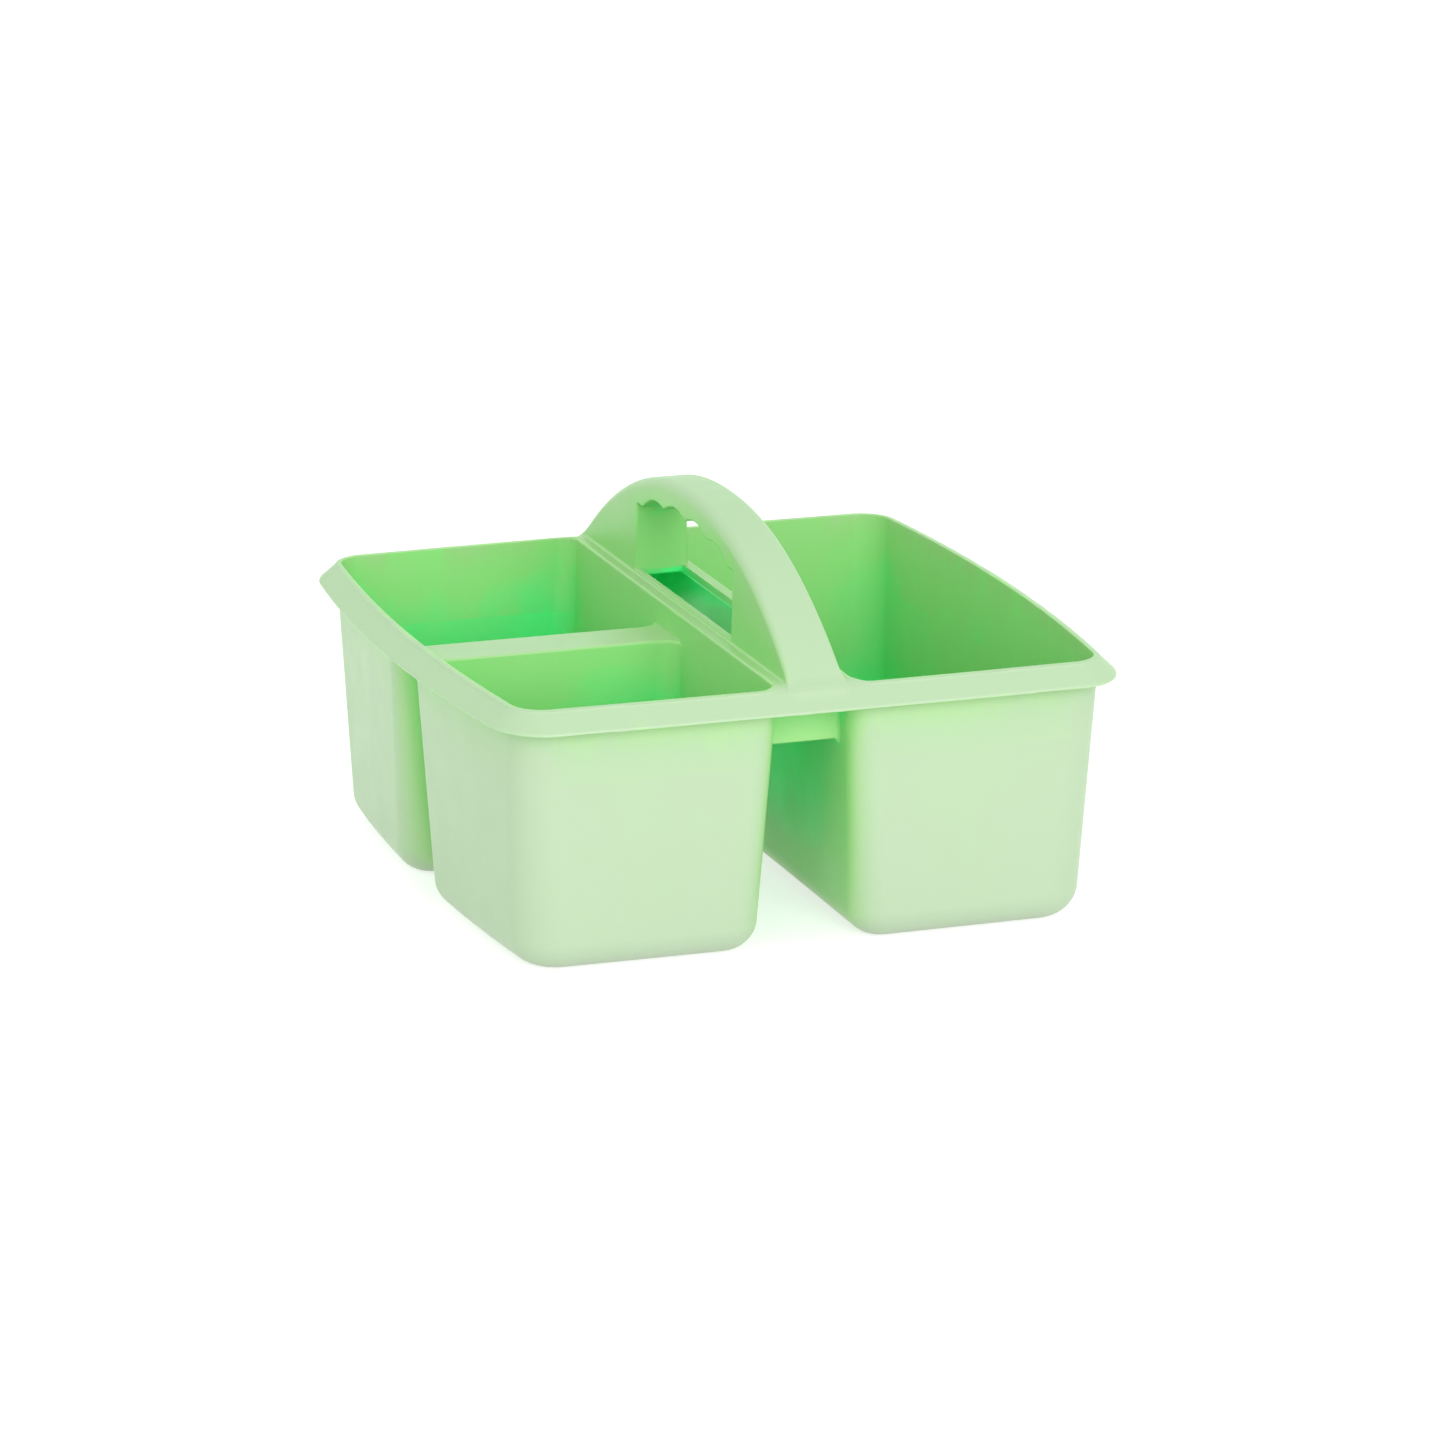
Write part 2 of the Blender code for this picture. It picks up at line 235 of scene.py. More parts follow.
def rim_plate(x, y, z):
    """Top plate over the whole plan with its sloping flange, and its upper face."""
    edge = plan_distance(x, y, WHOLE_RIM)

    # The flange is wider in front than at the sides, and turns from one to the other
    # around the corners; the small terms only keep 0 / 0 out of the middle
    dx = np.maximum(np.abs(x) - HALF_WIDTH + OUTER_CORNER, 0.0)
    dy = np.maximum(np.abs(y) - HALF_DEPTH + OUTER_CORNER, 0.0)
    run = (RUN_SIDE * dx * dx + RUN_FRONT * dy * dy + 0.01) / (dx * dx + dy * dy + 0.001)
    run = np.clip(run, RUN_SIDE, RUN_FRONT)

    # Sloping upper face, met by the flat top
    fall = FLANGE_EDGE_DROP - FLANGE_START_DROP
    across = run - FLANGE_START
    slope = ((edge - FLANGE_START) * fall
             + (z - RIM_TOP + FLANGE_START_DROP) * across) / np.hypot(fall, across)
    top = meet(z - RIM_TOP, slope, RIM_CROWN)

    # Lower face, which ends in the thin lip
    low_start = FLANGE_START_DROP + FLANGE_SHEET
    fall = FLANGE_LOW_DROP - low_start
    across = run - LIP - FLANGE_START
    under = -((edge - FLANGE_START) * fall
              + (z - RIM_TOP + low_start) * across) / np.hypot(fall, across)
    under = np.minimum(RIM_TOP - WALL - z, under)
    plate = meet(top, edge - run, LIP_ROUND)
    plate = meet(plate, RIM_TOP - FLANGE_LOW_DROP - z, LIP_LOW_ROUND)
    return meet(plate, under, UNDER_ROUND), top


def web_half(z):
    """Half the width of the handle, which leans in slightly."""
    return WEB_HALF - np.maximum(z - RIM_TOP, 0.0) * WEB_LEAN


def arch_height(y):
    """Height of the arched top of the handle."""
    s = np.minimum(np.abs(y) / ARCH_REACH, 1.0)
    return ARCH_FOOT + (HANDLE_TOP - ARCH_FOOT) * (1.0 - s ** ARCH_POWER) ** ARCH_BLEND


def arch_distance(y, z):
    """Distance above the arched top of the handle."""
    rise = HANDLE_TOP - ARCH_FOOT
    s = np.abs(y) / ARCH_REACH
    h = np.maximum(z - ARCH_FOOT, 0.0) / rise
    power = 1.0 / ARCH_BLEND
    steep = np.hypot(ARCH_POWER * s ** (ARCH_POWER - 1.0) / ARCH_REACH,
                     power * h ** (power - 1.0) / rise)
    return (s ** ARCH_POWER + h ** power - 1.0) / np.maximum(steep, LEAST_STEEPNESS)


def grip_height(y):
    """Underside of the grip: follows the arch, with a round groove per finger."""
    phase = (y / FINGER_PITCH) % 1.0
    return (arch_height(y) - GRIP_DEPTH
            - FINGER_GROOVE * (1.0 - np.sin(np.pi * phase)))


def grip_distance(y, z):
    """Distance above the underside of the grip."""
    step = 0.2
    slope = (grip_height(y + step) - grip_height(y - step)) / (2.0 * step)
    return (z - grip_height(y)) / np.hypot(1.0, slope)


def solid_distance(at):
    """Signed distance to the moulding for an array of points in millimetres."""
    real_x, real_y, z = at[:, 0], at[:, 1], at[:, 2]
    x, y = unbow(real_x, real_y)
    large = wall_distance(x, y, z, LARGE)
    front = wall_distance(x, y, z, FRONT_SMALL)
    rear = wall_distance(x, y, z, REAR_SMALL)
    left = wall_distance(x, y, z, LEFT_HALF)
    capped = z - RIM_TOP + WALLS_STOP

    # Outer walls and the saddle that spans the gap between the small bins
    outer = np.maximum(meet(large - WALL, -z, BOTTOM_ROUND), capped)
    small = np.minimum(meet(front - WALL, -z, BOTTOM_ROUND),
                       meet(rear - WALL, -z, BOTTOM_ROUND))
    small = join(small, DIVIDER_TOP - SADDLE_SHEET - z, WALL_FILLET)
    body = np.minimum(outer, np.maximum(np.maximum(left - WALL, small), capped))

    # Bridge walls and the rim
    rise = RIM_TOP - z
    far_x, far_y = np.abs(real_x), np.abs(real_y)
    bridge = meet(np.abs(far_y - BRIDGE_MIDDLE) - WALL / 2.0, BRIDGE_LOW - z,
                  BRIDGE_EDGE_ROUND)
    bridge = np.maximum(bridge, far_x - CHANNEL_EDGE + WALL / 2.0 - rise * DRAFT)
    body = join(body, np.maximum(bridge, capped), BRIDGE_FILLET)
    plate, plate_top = rim_plate(x, y, z)
    body = join(body, plate, WALL_FILLET)

    # Handle, hollow from below
    spread = np.clip((far_y - FOOT_START) / (ARCH_REACH - FOOT_START), 0.0,
                     MAX_SPREAD)
    half = web_half(z) + FOOT_FLARE * spread ** 2
    arch = arch_distance(real_y, z)
    share = np.minimum(far_y / ARCH_REACH, 1.0) ** 3
    shoulder = SHOULDER + (FOOT_SHOULDER - SHOULDER) * share
    handle = meet(far_x - half, arch, shoulder)
    middle = np.clip((half - far_x) / FOOT_FILLET, 0.0, 1.0)
    fillet = WALL_FILLET + (FOOT_FILLET - WALL_FILLET) * np.minimum(spread, 1.0) * middle
    body = join(body, np.maximum(handle, -plate_top - HANDLE_SINK), fillet)
    hollow = meet(far_x - half + WALL, arch + ARCH_SHEET, HOLLOW_ROUND)
    hollow = np.maximum(hollow, np.maximum(far_y - SLOT_END,
                                           RIM_TOP - WALL - HOLLOW_SINK - z))
    body = meet(body, -hollow, WINDOW_ROUND)

    # Grip panel and end walls of the finger opening
    grip = grip_distance(real_y, z)
    lining = np.maximum(np.maximum(far_y - OPENING_HALF - WALL, grip - WALL),
                        np.maximum(far_x - half + LINING_SINK,
                                   RIM_TOP - LINING_SINK - z))
    body = join(body, lining, WINDOW_ROUND)
    window = np.minimum(far_x - half + WALL, RIM_TOP + UPSTAND - z)
    window = np.maximum(np.maximum(far_y - OPENING_HALF, grip), window)
    body = meet(body, -window, WINDOW_ROUND)

    # Insides of the bins
    floor = BOTTOM_ROUND - WALL
    inside_large = meet(large, FLOOR - z, floor)
    inside_small = np.minimum(meet(front, FLOOR - z, floor), meet(rear, FLOOR - z, floor))
    left_solid = np.minimum(-left, meet(z - DIVIDER_TOP, -inside_small, SADDLE_ROUND))
    return meet(body, np.maximum(left_solid, -inside_large), EDGE_ROUND)


CHUNK = 60000                                  # points that fit in the cache


def distance(at):
    """solid_distance for any number of points, a chunk to each thread."""
    chunks = np.array_split(at, max(1, len(at) // CHUNK))
    with ThreadPoolExecutor(4) as pool:
        return np.concatenate(list(pool.map(solid_distance, chunks)))


def gradient(at, step=0.02):
    """Direction straight out of the surface, by central differences."""
    slopes = []
    for axis in np.eye(3) * step:
        slopes.append(distance(at + axis) - distance(at - axis))
    out = np.stack(slopes, axis=1)
    return out / np.maximum(np.linalg.norm(out, axis=1, keepdims=True), 1e-9)


def settle(at, rounds, reach):
    """Move points onto the surface, no further than reach at a time."""
    for _ in range(rounds):
        step = np.clip(distance(at), -reach, reach)
        at = at - gradient(at) * step[:, None]
    return at


# Surface from the distance

BLOCK = 8                                      # cells along a block of the grid
NEAR = 1.15                                    # blocks this near hold some surface
BLOCKS_AT_ONCE = 1500
GRID_STEP = 0.6
KEPT_SHARE = 0.2
LONGEST_EDGE = 4.0
# Uneven limits keep the planes of the grid off the moulding's flat faces
GRID_LOW = np.array([-118.5, -117.9, LOFT_TOP - 3.1])
GRID_HIGH = np.array([118.5, 117.9, HANDLE_TOP + 2.0])
CORNERS = np.array([(i, j, k) for i in (0, 1) for j in (0, 1) for k in (0, 1)])
CELL_EDGES = [(a, b) for a in range(8) for b in range(a + 1, 8)
              if np.abs(CORNERS[a] - CORNERS[b]).sum() == 1]


def sampled(low, high, step):
    """Distances on a grid, true near the surface and only signed elsewhere."""
    blocks = np.ceil((high - low) / (step * BLOCK)).astype(int)
    index = np.stack(np.meshgrid(*[np.arange(n) for n in blocks], indexing="ij"), -1)
    index = index.reshape(-1, 3)
    middle = distance(low + (index + 0.5) * step * BLOCK)
    near = np.abs(middle) < step * BLOCK * NEAR
    rough = middle.reshape(blocks).astype(np.float32)
    field = np.empty(blocks * BLOCK + 1, np.float32)
    for axis in range(3):
        rough = np.repeat(rough, BLOCK, axis=axis)
    field[:-1, :-1, :-1] = rough
    field[-1], field[:, -1], field[:, :, -1] = field[-2], field[:, -2], field[:, :, -2]
    span = np.arange(BLOCK + 1)
    local = np.stack(np.meshgrid(span, span, span, indexing="ij"), -1).reshape(-1, 3)
    for group in np.array_split(index[near], max(1, near.sum() // BLOCKS_AT_ONCE)):
        cells = (group[:, None, :] * BLOCK + local[None]).reshape(-1, 3)
        field[tuple(cells.T)] = distance(low + cells * step)
    return field


def surface_net(field, low, step):
    """One point per cell that the surface crosses, joined by quads."""
    inside = field < 0.0
    size = np.array(field.shape) - 1
    count = np.zeros(size, np.uint8)
    for i, j, k in CORNERS:
        count += inside[i:size[0] + i, j:size[1] + j, k:size[2] + k]
    cells = np.argwhere((count > 0) & (count < 8))
    values = np.stack([field[tuple((cells + c).T)] for c in CORNERS], axis=1)
    total = np.zeros((len(cells), 3))
    hits = np.zeros(len(cells))
    for a, b in CELL_EDGES:
        va, vb = values[:, a], values[:, b]
        crossed = (va < 0.0) != (vb < 0.0)
        t = np.where(crossed, va / np.where(crossed, va - vb, 1.0), 0.0)[:, None]
        point = CORNERS[a] + t * (CORNERS[b] - CORNERS[a])
        total += np.where(crossed[:, None], point, 0.0)
        hits += crossed
    points = low + (cells + total / hits[:, None]) * step

    number = np.full(size, -1, np.int32)
    number[tuple(cells.T)] = np.arange(len(cells))
    quads = []
    for axis in range(3):
        first = [slice(1, -1)] * 3
        first[axis] = slice(0, -1)
        second = list(first)
        second[axis] = slice(1, None)
        a, b = inside[tuple(first)], inside[tuple(second)]
        base = np.argwhere(a != b) + [0 if n == axis else 1 for n in range(3)]
        leaving = inside[tuple(base.T)]
        side, up = np.eye(3, dtype=int)[[(axis + 1) % 3, (axis + 2) % 3]]
        around = [number[tuple((base - shift).T)]
                  for shift in (side + up, up, 0 * up, side)]
        quad = np.stack(around, axis=1)
        quads.append(np.where(leaving[:, None], quad, quad[:, ::-1]))
    return points, np.concatenate(quads)


def mesh_from(points, faces):
    """Blender mesh, in metres, from arrays of points in millimetres and faces."""
    mesh = bpy.data.meshes.new("moulding")
    mesh.from_pydata((points * MM).tolist(), [], faces.tolist())
    return mesh


def points_of(mesh):
    """Vertex positions of a mesh in millimetres."""
    flat = np.empty(len(mesh.vertices) * 3, np.float32)
    mesh.vertices.foreach_get("co", flat)
    return flat.reshape(-1, 3).astype(float) / MM


def evened(points, faces, longest):
    """Halve every edge over a limit, longest first, so that shading stays smooth."""
    for _ in range(40):
        after = np.roll(faces, -1, axis=1)
        length = np.linalg.norm(points[faces] - points[after], axis=2)
        key = np.minimum(faces, after) * len(points) + np.maximum(faces, after)
        every, edge, sharing = np.unique(key, return_inverse=True, return_counts=True)
        edge = edge.reshape(faces.shape)
        row = np.arange(len(faces))
        side = length.argmax(axis=1)
        picked = edge[row, side]
        wanted = length[row, side] > longest
        votes = np.bincount(picked[wanted], minlength=len(every))
        ready = (votes == sharing) & (votes > 0)
        if not ready.any():
            break
        number = len(points) + np.cumsum(ready) - 1
        ends = np.stack(np.divmod(every[ready], len(points)), axis=1)
        split = wanted & ready[picked]
        turned = faces[split]
        order = (side[split][:, None] + np.arange(3)) % 3
        a, b, c = np.take_along_axis(turned, order, axis=1).T
        middle = number[picked[split]]
        points = np.concatenate((points, points[ends].mean(axis=1)))
        faces = np.concatenate((faces[~split], np.stack((a, middle, c), axis=1),
                                np.stack((middle, b, c), axis=1)))
    return points, faces


def thinned(mesh, ratio):
    """The mesh with fewer triangles where it is flat, back on the true surface."""
    holder = bpy.data.objects.new("moulding", mesh)
    bpy.context.scene.collection.objects.link(holder)
    holder.modifiers.new("fewer", "DECIMATE").ratio = ratio
    graph = bpy.context.evaluated_depsgraph_get()
    fewer = bpy.data.meshes.new_from_object(holder.evaluated_get(graph))
    bpy.data.objects.remove(holder)
    bpy.data.meshes.remove(mesh)
    fewer.calc_loop_triangles()
    corners = np.empty(len(fewer.loop_triangles) * 3, np.int32)
    fewer.loop_triangles.foreach_get("vertices", corners)
    points, faces = evened(points_of(fewer), corners.reshape(-1, 3).astype(int),
                           LONGEST_EDGE)
    bpy.data.meshes.remove(fewer)
    return mesh_from(settle(points, 2, 0.1), faces)


def upper_moulding():
    """Everything above the plain lower walls, as one surface."""
    field = sampled(GRID_LOW, GRID_HIGH, GRID_STEP)
    points, quads = surface_net(field, GRID_LOW, GRID_STEP)
    points = settle(points, 2, GRID_STEP * 0.4)
    return thinned(mesh_from(points, quads), KEPT_SHARE)


# Lofted bins

ARC = 14                       # steps round a corner or a foot edge
SIDE = 20                      # steps along a side
LEVELS = 16                                    # rings up a wall
PANELS = 12                                    # rings across a floor


def outline(shape, shrink, grown):
    """Rounded rectangle, counter-clockwise from the front left corner."""
    (x0, x1, y0, y1), radii = shape
    x0, x1, y0, y1 = x0 + shrink, x1 - shrink, y0 + shrink, y1 - shrink
    corners = ((x0, y0, 1, 1), (x1, y0, -1, 1), (x1, y1, -1, -1), (x0, y1, 1, -1))
    arcs = []
    for number, (cx, cy, toward_x, toward_y) in enumerate(corners):
        radius = radii[number] + grown
        turn = np.radians(180.0 + 90.0 * (number + np.arange(ARC + 1) / ARC))
        arcs.append(np.stack((cx + toward_x * radius + radius * np.cos(turn),
                              cy + toward_y * radius + radius * np.sin(turn)), axis=1))
    points = []
    for here, after in zip(arcs, arcs[1:] + arcs[:1]):
        t = (np.arange(1, SIDE) / SIDE)[:, None]
        points += [here, here[-1] * (1.0 - t) + after[0] * t]
    return np.concatenate(points)


def bin_ring(shape, z, inset):
    """One level of a bin; the inset is measured from the drafted inner face."""
    rise = RIM_TOP - z
    plan = outline(shape, inset + rise * DRAFT, CORNER_OPENING * rise / RIM_TOP - inset)
    x, y = enbow(plan[:, 0], plan[:, 1])
    return np.stack((x, y, np.full(len(x), z)), axis=1)


def lower_bin(shape):
    """Bin up to the loft's top: a closed body with panels of rings for its floor."""
    turns = np.radians(np.linspace(0.0, 90.0, ARC))
    levels = np.linspace(BOTTOM_ROUND, LOFT_TOP, LEVELS)[1:]
    outer = [bin_ring(shape, BOTTOM_ROUND * (1.0 - math.cos(a)),
                      BOTTOM_ROUND * (1.0 - math.sin(a)) - WALL) for a in turns]
    outer += [bin_ring(shape, z, -WALL) for z in levels]
    radius = BOTTOM_ROUND - WALL
    inner = [bin_ring(shape, FLOOR + radius * (1.0 - math.cos(a)),
                      radius * (1.0 - math.sin(a))) for a in turns]
    inner += [bin_ring(shape, z, 0.0) for z in levels]
    shares = np.linspace(1.0, 0.0, PANELS)[1:]

    def panel(ring):
        middle = ring.mean(axis=0)
        return [middle + (ring - middle) * share for share in shares]

    rings = panel(outer[0])[::-1] + outer + inner[::-1] + panel(inner[0])
    count = len(rings[0])
    start = np.arange(count)
    quads = []
    for k in range(len(rings) - 1):
        a = k * count + start
        b = k * count + (start + 1) % count
        quads.append(np.stack((a, b, b + count, a + count), axis=1))
    mesh = mesh_from(np.concatenate(rings), np.concatenate(quads))
    bm = bmesh.new()
    bm.from_mesh(mesh)
    bmesh.ops.remove_doubles(bm, verts=bm.verts, dist=1e-7)
    bm.to_mesh(mesh)
    bm.free()
    return mesh


# Cutting the surface into sections

CUT = 1e-6                                     # metres
ALL_TRIANGLES = 0                              # what delaunay_2d_cdt gives back
SAME_PLACE = 1e-7                              # millimetres


def cap(bm, rim, outward):
    """Fill the cut loops with triangles, leaving out what lies between the walls."""
    points = list(dict.fromkeys(v for e in rim for v in e.verts))
    number = {v: n for n, v in enumerate(points)}

    # Positions in the plane, then triangles over everything inside their outline
    across = np.eye(3)[np.argsort(np.abs(outward))[0]]
    along = np.cross(outward, across)
    flat = np.array([v.co for v in points]) / MM @ np.stack((across, along), axis=1)
    pairs = [(number[e.verts[0]], number[e.verts[1]]) for e in rim]
    _, sides, triangles, sources, walls, _ = delaunay_2d_cdt(
        [Vector(p) for p in flat], pairs, [], ALL_TRIANGLES, SAME_PLACE)

    # Every rim edge that is crossed on the way in from outside turns empty into solid
    beside = {}
    for n, triangle in enumerate(triangles):
        for a, b in zip(triangle, triangle[1:] + triangle[:1]):
            beside.setdefault(frozenset((a, b)), []).append(n)
    wall = {frozenset(side) for side, origin in zip(sides, walls) if origin}
    solid = {pair[0]: side in wall for side, pair in beside.items() if len(pair) == 1}
    waiting = list(solid)
    while waiting:
        n = waiting.pop()
        triangle = triangles[n]
        for a, b in zip(triangle, triangle[1:] + triangle[:1]):
            side = frozenset((a, b))
            for other in beside[side]:
                if other not in solid:
                    solid[other] = solid[n] != (side in wall)
                    waiting.append(other)
    for n, triangle in enumerate(triangles):
        if solid.get(n):
            face = bm.faces.new([points[sources[corner][0]] for corner in triangle])
            face.normal_update()
            if face.normal.dot(Vector(outward)) < 0.0:
                face.normal_flip()


def section(mesh, name, planes):
    """The part of a mesh on the inner side of every plane, closed by flat caps."""
    bm = bmesh.new()
    bm.from_mesh(mesh)
    for point, outward in planes:
        cut = bmesh.ops.bisect_plane(bm, geom=bm.verts[:] + bm.edges[:] + bm.faces[:],
                                     dist=CUT, plane_co=Vector(point) * MM,
                                     plane_no=outward, clear_outer=True)
        rim = [e for e in cut["geom_cut"] if isinstance(e, bmesh.types.BMEdge)]
        cap(bm, rim, np.array(outward))
    open_edges = sum(1 for e in bm.edges if len(e.link_faces) != 2)
    if open_edges:
        print(f"{name}: {open_edges} edges aren't shared by two faces")
    part = bpy.data.meshes.new(name)
    bm.to_mesh(part)
    bm.free()
    return part


# Openness: how much of the surroundings each point of the surface can see, used to paint
# shade into the base colour

EDGE_PROBE = 0.5                               # how far inside an edge is felt
PAINTED_TOP_LIGHT = 0.35                                  # painted light: surfaces that face up are made paler
SOFTENING = 14                                 # rounds of averaging with neighbours
ALIKE = 0.6                                    # cosine between neighbours' normals
RAYS = 48
REACHES = (5.0, 11.0, 22.0, 42.0, 75.0, 115.0)
CONE = 0.28                                    # width of a soft ray per reach
LIFT = 0.8                                     # rays start clear of the surface
GRAZING = 0.02                                 # rays flatter than this aren't used
COARSE = 3.0                                   # grid of distances that rays look up
COARSE_LOW = np.array([-150.0, -150.0, -30.0])
COARSE_COUNT = np.array([101, 101, 68])


def coarse_field():
    """Distances on a coarse grid round the whole moulding."""
    axes = [low + COARSE * np.arange(n) for low, n in zip(COARSE_LOW, COARSE_COUNT)]
    grid = np.stack(np.meshgrid(*axes, indexing="ij"), -1).reshape(-1, 3)
    return distance(grid).reshape(COARSE_COUNT)


def looked_up(field, at):
    """Field values between its samples."""
    place = np.clip((at - COARSE_LOW) / COARSE, 0.0, COARSE_COUNT - 1.001)
    cell = place.astype(int)
    part = place - cell
    value = 0.0
    for corner in CORNERS:
        weight = np.prod(np.where(corner, part, 1.0 - part), axis=1)
        value = value + weight * field[tuple((cell + corner).T)]
    return value


def openness(field, at, normal):
    """Share of an even sky that reaches each point, by soft rays all round, raised on
    up-facing surfaces as painted light.
    """
    order = np.arange(RAYS) + 0.5
    tilt = np.arccos(1.0 - 2.0 * order / RAYS)
    spin = np.pi * (1.0 + 5.0 ** 0.5) * order
    rays = np.stack((np.cos(spin) * np.sin(tilt), np.sin(spin) * np.sin(tilt),
                     np.cos(tilt)), axis=1)
    seen = np.zeros(len(at))
    weights = np.full(len(at), 1e-9)
    for ray in rays:
        facing = np.maximum(normal @ ray, 0.0)
        used = facing > GRAZING
        clear = np.ones(used.sum())
        for reach in REACHES:
            gap = looked_up(field, at[used] + normal[used] * LIFT + ray * reach)
            clear = np.minimum(clear, np.clip(gap / (reach * CONE), 0.0, 1.0))
        seen[used] += facing[used] * clear
        weights[used] += facing[used]
    share = seen / weights
    # Painted light: up-facing surfaces count as more open, so the ramp colours them paler
    return share + PAINTED_TOP_LIGHT * np.maximum(normal[:, 2], 0.0) * (1.0 - share)


def softened(mesh, normal, values):
    """Values averaged with neighbours that face the same way, to hide single rays."""
    ends = np.empty(len(mesh.edges) * 2, np.int32)
    mesh.edges.foreach_get("vertices", ends)
    a, b = ends.reshape(-1, 2).T
    alike = np.sum(normal[a] * normal[b], axis=1) > ALIKE
    a, b = a[alike], b[alike]
    size = len(values)
    sharing = np.bincount(a, minlength=size) + np.bincount(b, minlength=size) + 1.0
    for _ in range(SOFTENING):
        around = np.bincount(a, values[b], size) + np.bincount(b, values[a], size)
        values = (values + around) / sharing
    return values


# Material

# Base colour for each openness, from the deepest recess to a surface in the open: painted
# shade, deep green where less light reaches and pale in the open
PAINTED_SHADE_COLOURS = ((0.14, (0.03, 0.95, 0.36)), (0.25, (0.05, 0.88, 0.28)),
           (0.31, (0.13, 0.68, 0.22)), (0.40, (0.25, 0.58, 0.20)),
           (0.60, (0.29, 0.52, 0.21)), (0.75, (0.34, 0.49, 0.26)),
           (0.88, (0.35, 0.44, 0.30)), (0.98, (0.36, 0.415, 0.32)))
# Pale colour on sharp edges: partly wear, partly a painted highlight
WORN_AND_LIT_EDGE_COLOUR = (0.80, 0.90, 0.76, 1.0)
EDGE_GLOSS = 0.06                              # edges are this much less rough


def plastic():
    """Satin polypropylene: fine mould grain, faint flow mottling, painted shade in the
    recesses, pale edges that are partly wear and partly painted highlight.
    """
    material = bpy.data.materials.new("satin_polypropylene")
    material.use_nodes = True
    nodes, links = material.node_tree.nodes, material.node_tree.links
    shader = nodes["Principled BSDF"]
    shader.inputs["IOR"].default_value = 1.49
    shader.inputs["Specular IOR Level"].default_value = 0.22
    place = nodes.new("ShaderNodeTexCoord")

    def noise(scale, detail, roughness):
        """Noise with a scale in waves per metre."""
        node = nodes.new("ShaderNodeTexNoise")
        node.inputs["Scale"].default_value = scale
        node.inputs["Detail"].default_value = detail
        node.inputs["Roughness"].default_value = roughness
        links.new(place.outputs["Object"], node.inputs["Vector"])
        return node.outputs["Fac"]

    def ranged(value, low, high, from_low=0.3, from_high=0.7):
        """A noise value, which mostly lies from 0.3 to 0.7, spread from low to high."""
        node = nodes.new("ShaderNodeMapRange")
        node.inputs["From Min"].default_value = from_low
        node.inputs["From Max"].default_value = from_high
        node.inputs["To Min"].default_value = low
        node.inputs["To Max"].default_value = high
        links.new(value, node.inputs["Value"])
        return node.outputs["Result"]

    def attribute(name):
        node = nodes.new("ShaderNodeAttribute")
        node.attribute_name = name
        return node.outputs["Fac"]

    def maths(operation, a, b):
        node = nodes.new("ShaderNodeMath")
        node.operation = operation
        for socket, value in zip(node.inputs, (a, b)):
            if isinstance(value, float):
                socket.default_value = value
            else:
                links.new(value, socket)
        return node.outputs["Value"]

    # Colour: painted shade, pale where the surface is open and deep green in the recesses
    # where shade falls
    flow = noise(28.0, 3.0, 0.55)
    painted_shade_input = maths("ADD", attribute("openness"), ranged(flow, -0.025, 0.025))
    shade_ramp = nodes.new("ShaderNodeValToRGB")
    while len(shade_ramp.color_ramp.elements) < len(PAINTED_SHADE_COLOURS):
        shade_ramp.color_ramp.elements.new(0.5)
    for element, (position, colour) in zip(shade_ramp.color_ramp.elements, PAINTED_SHADE_COLOURS):
        element.position = position
        element.color = (*colour, 1.0)
    links.new(painted_shade_input, shade_ramp.inputs["Fac"])
    # Edges: pale colour that is partly wear and partly a painted highlight along the rims
    pale_edge = nodes.new("ShaderNodeMix")
    pale_edge.data_type = "RGBA"
    pale_edge.inputs["B"].default_value = WORN_AND_LIT_EDGE_COLOUR
    patchy = ranged(noise(420.0, 4.0, 0.6), 0.1, 0.42)
    links.new(maths("MULTIPLY", attribute("edge"), patchy), pale_edge.inputs["Factor"])
    links.new(shade_ramp.outputs["Color"], pale_edge.inputs["A"])
    links.new(pale_edge.outputs["Result"], shader.inputs["Base Color"])

    # Gloss: satin, a little shinier on handled edges
    haze = ranged(noise(60.0, 5.0, 0.6), 0.33, 0.43)
    gloss = maths("SUBTRACT", haze, maths("MULTIPLY", attribute("edge"), EDGE_GLOSS))
    links.new(gloss, shader.inputs["Roughness"])

    # Grain: spark-eroded mould texture over a faint long-wave sink
    grain = noise(2600.0, 2.0, 0.5)
    sink = noise(34.0, 1.0, 0.4)
    fine = nodes.new("ShaderNodeBump")
    fine.inputs["Strength"].default_value = 0.12
    fine.inputs["Distance"].default_value = 0.00008
    broad = nodes.new("ShaderNodeBump")
    broad.inputs["Strength"].default_value = 0.25
    broad.inputs["Distance"].default_value = 0.0004
    links.new(grain, fine.inputs["Height"])
    links.new(sink, broad.inputs["Height"])
    links.new(fine.outputs["Normal"], broad.inputs["Normal"])
    links.new(broad.outputs["Normal"], shader.inputs["Normal"])
    return material


PLASTIC = plastic()
FIELD = coarse_field()


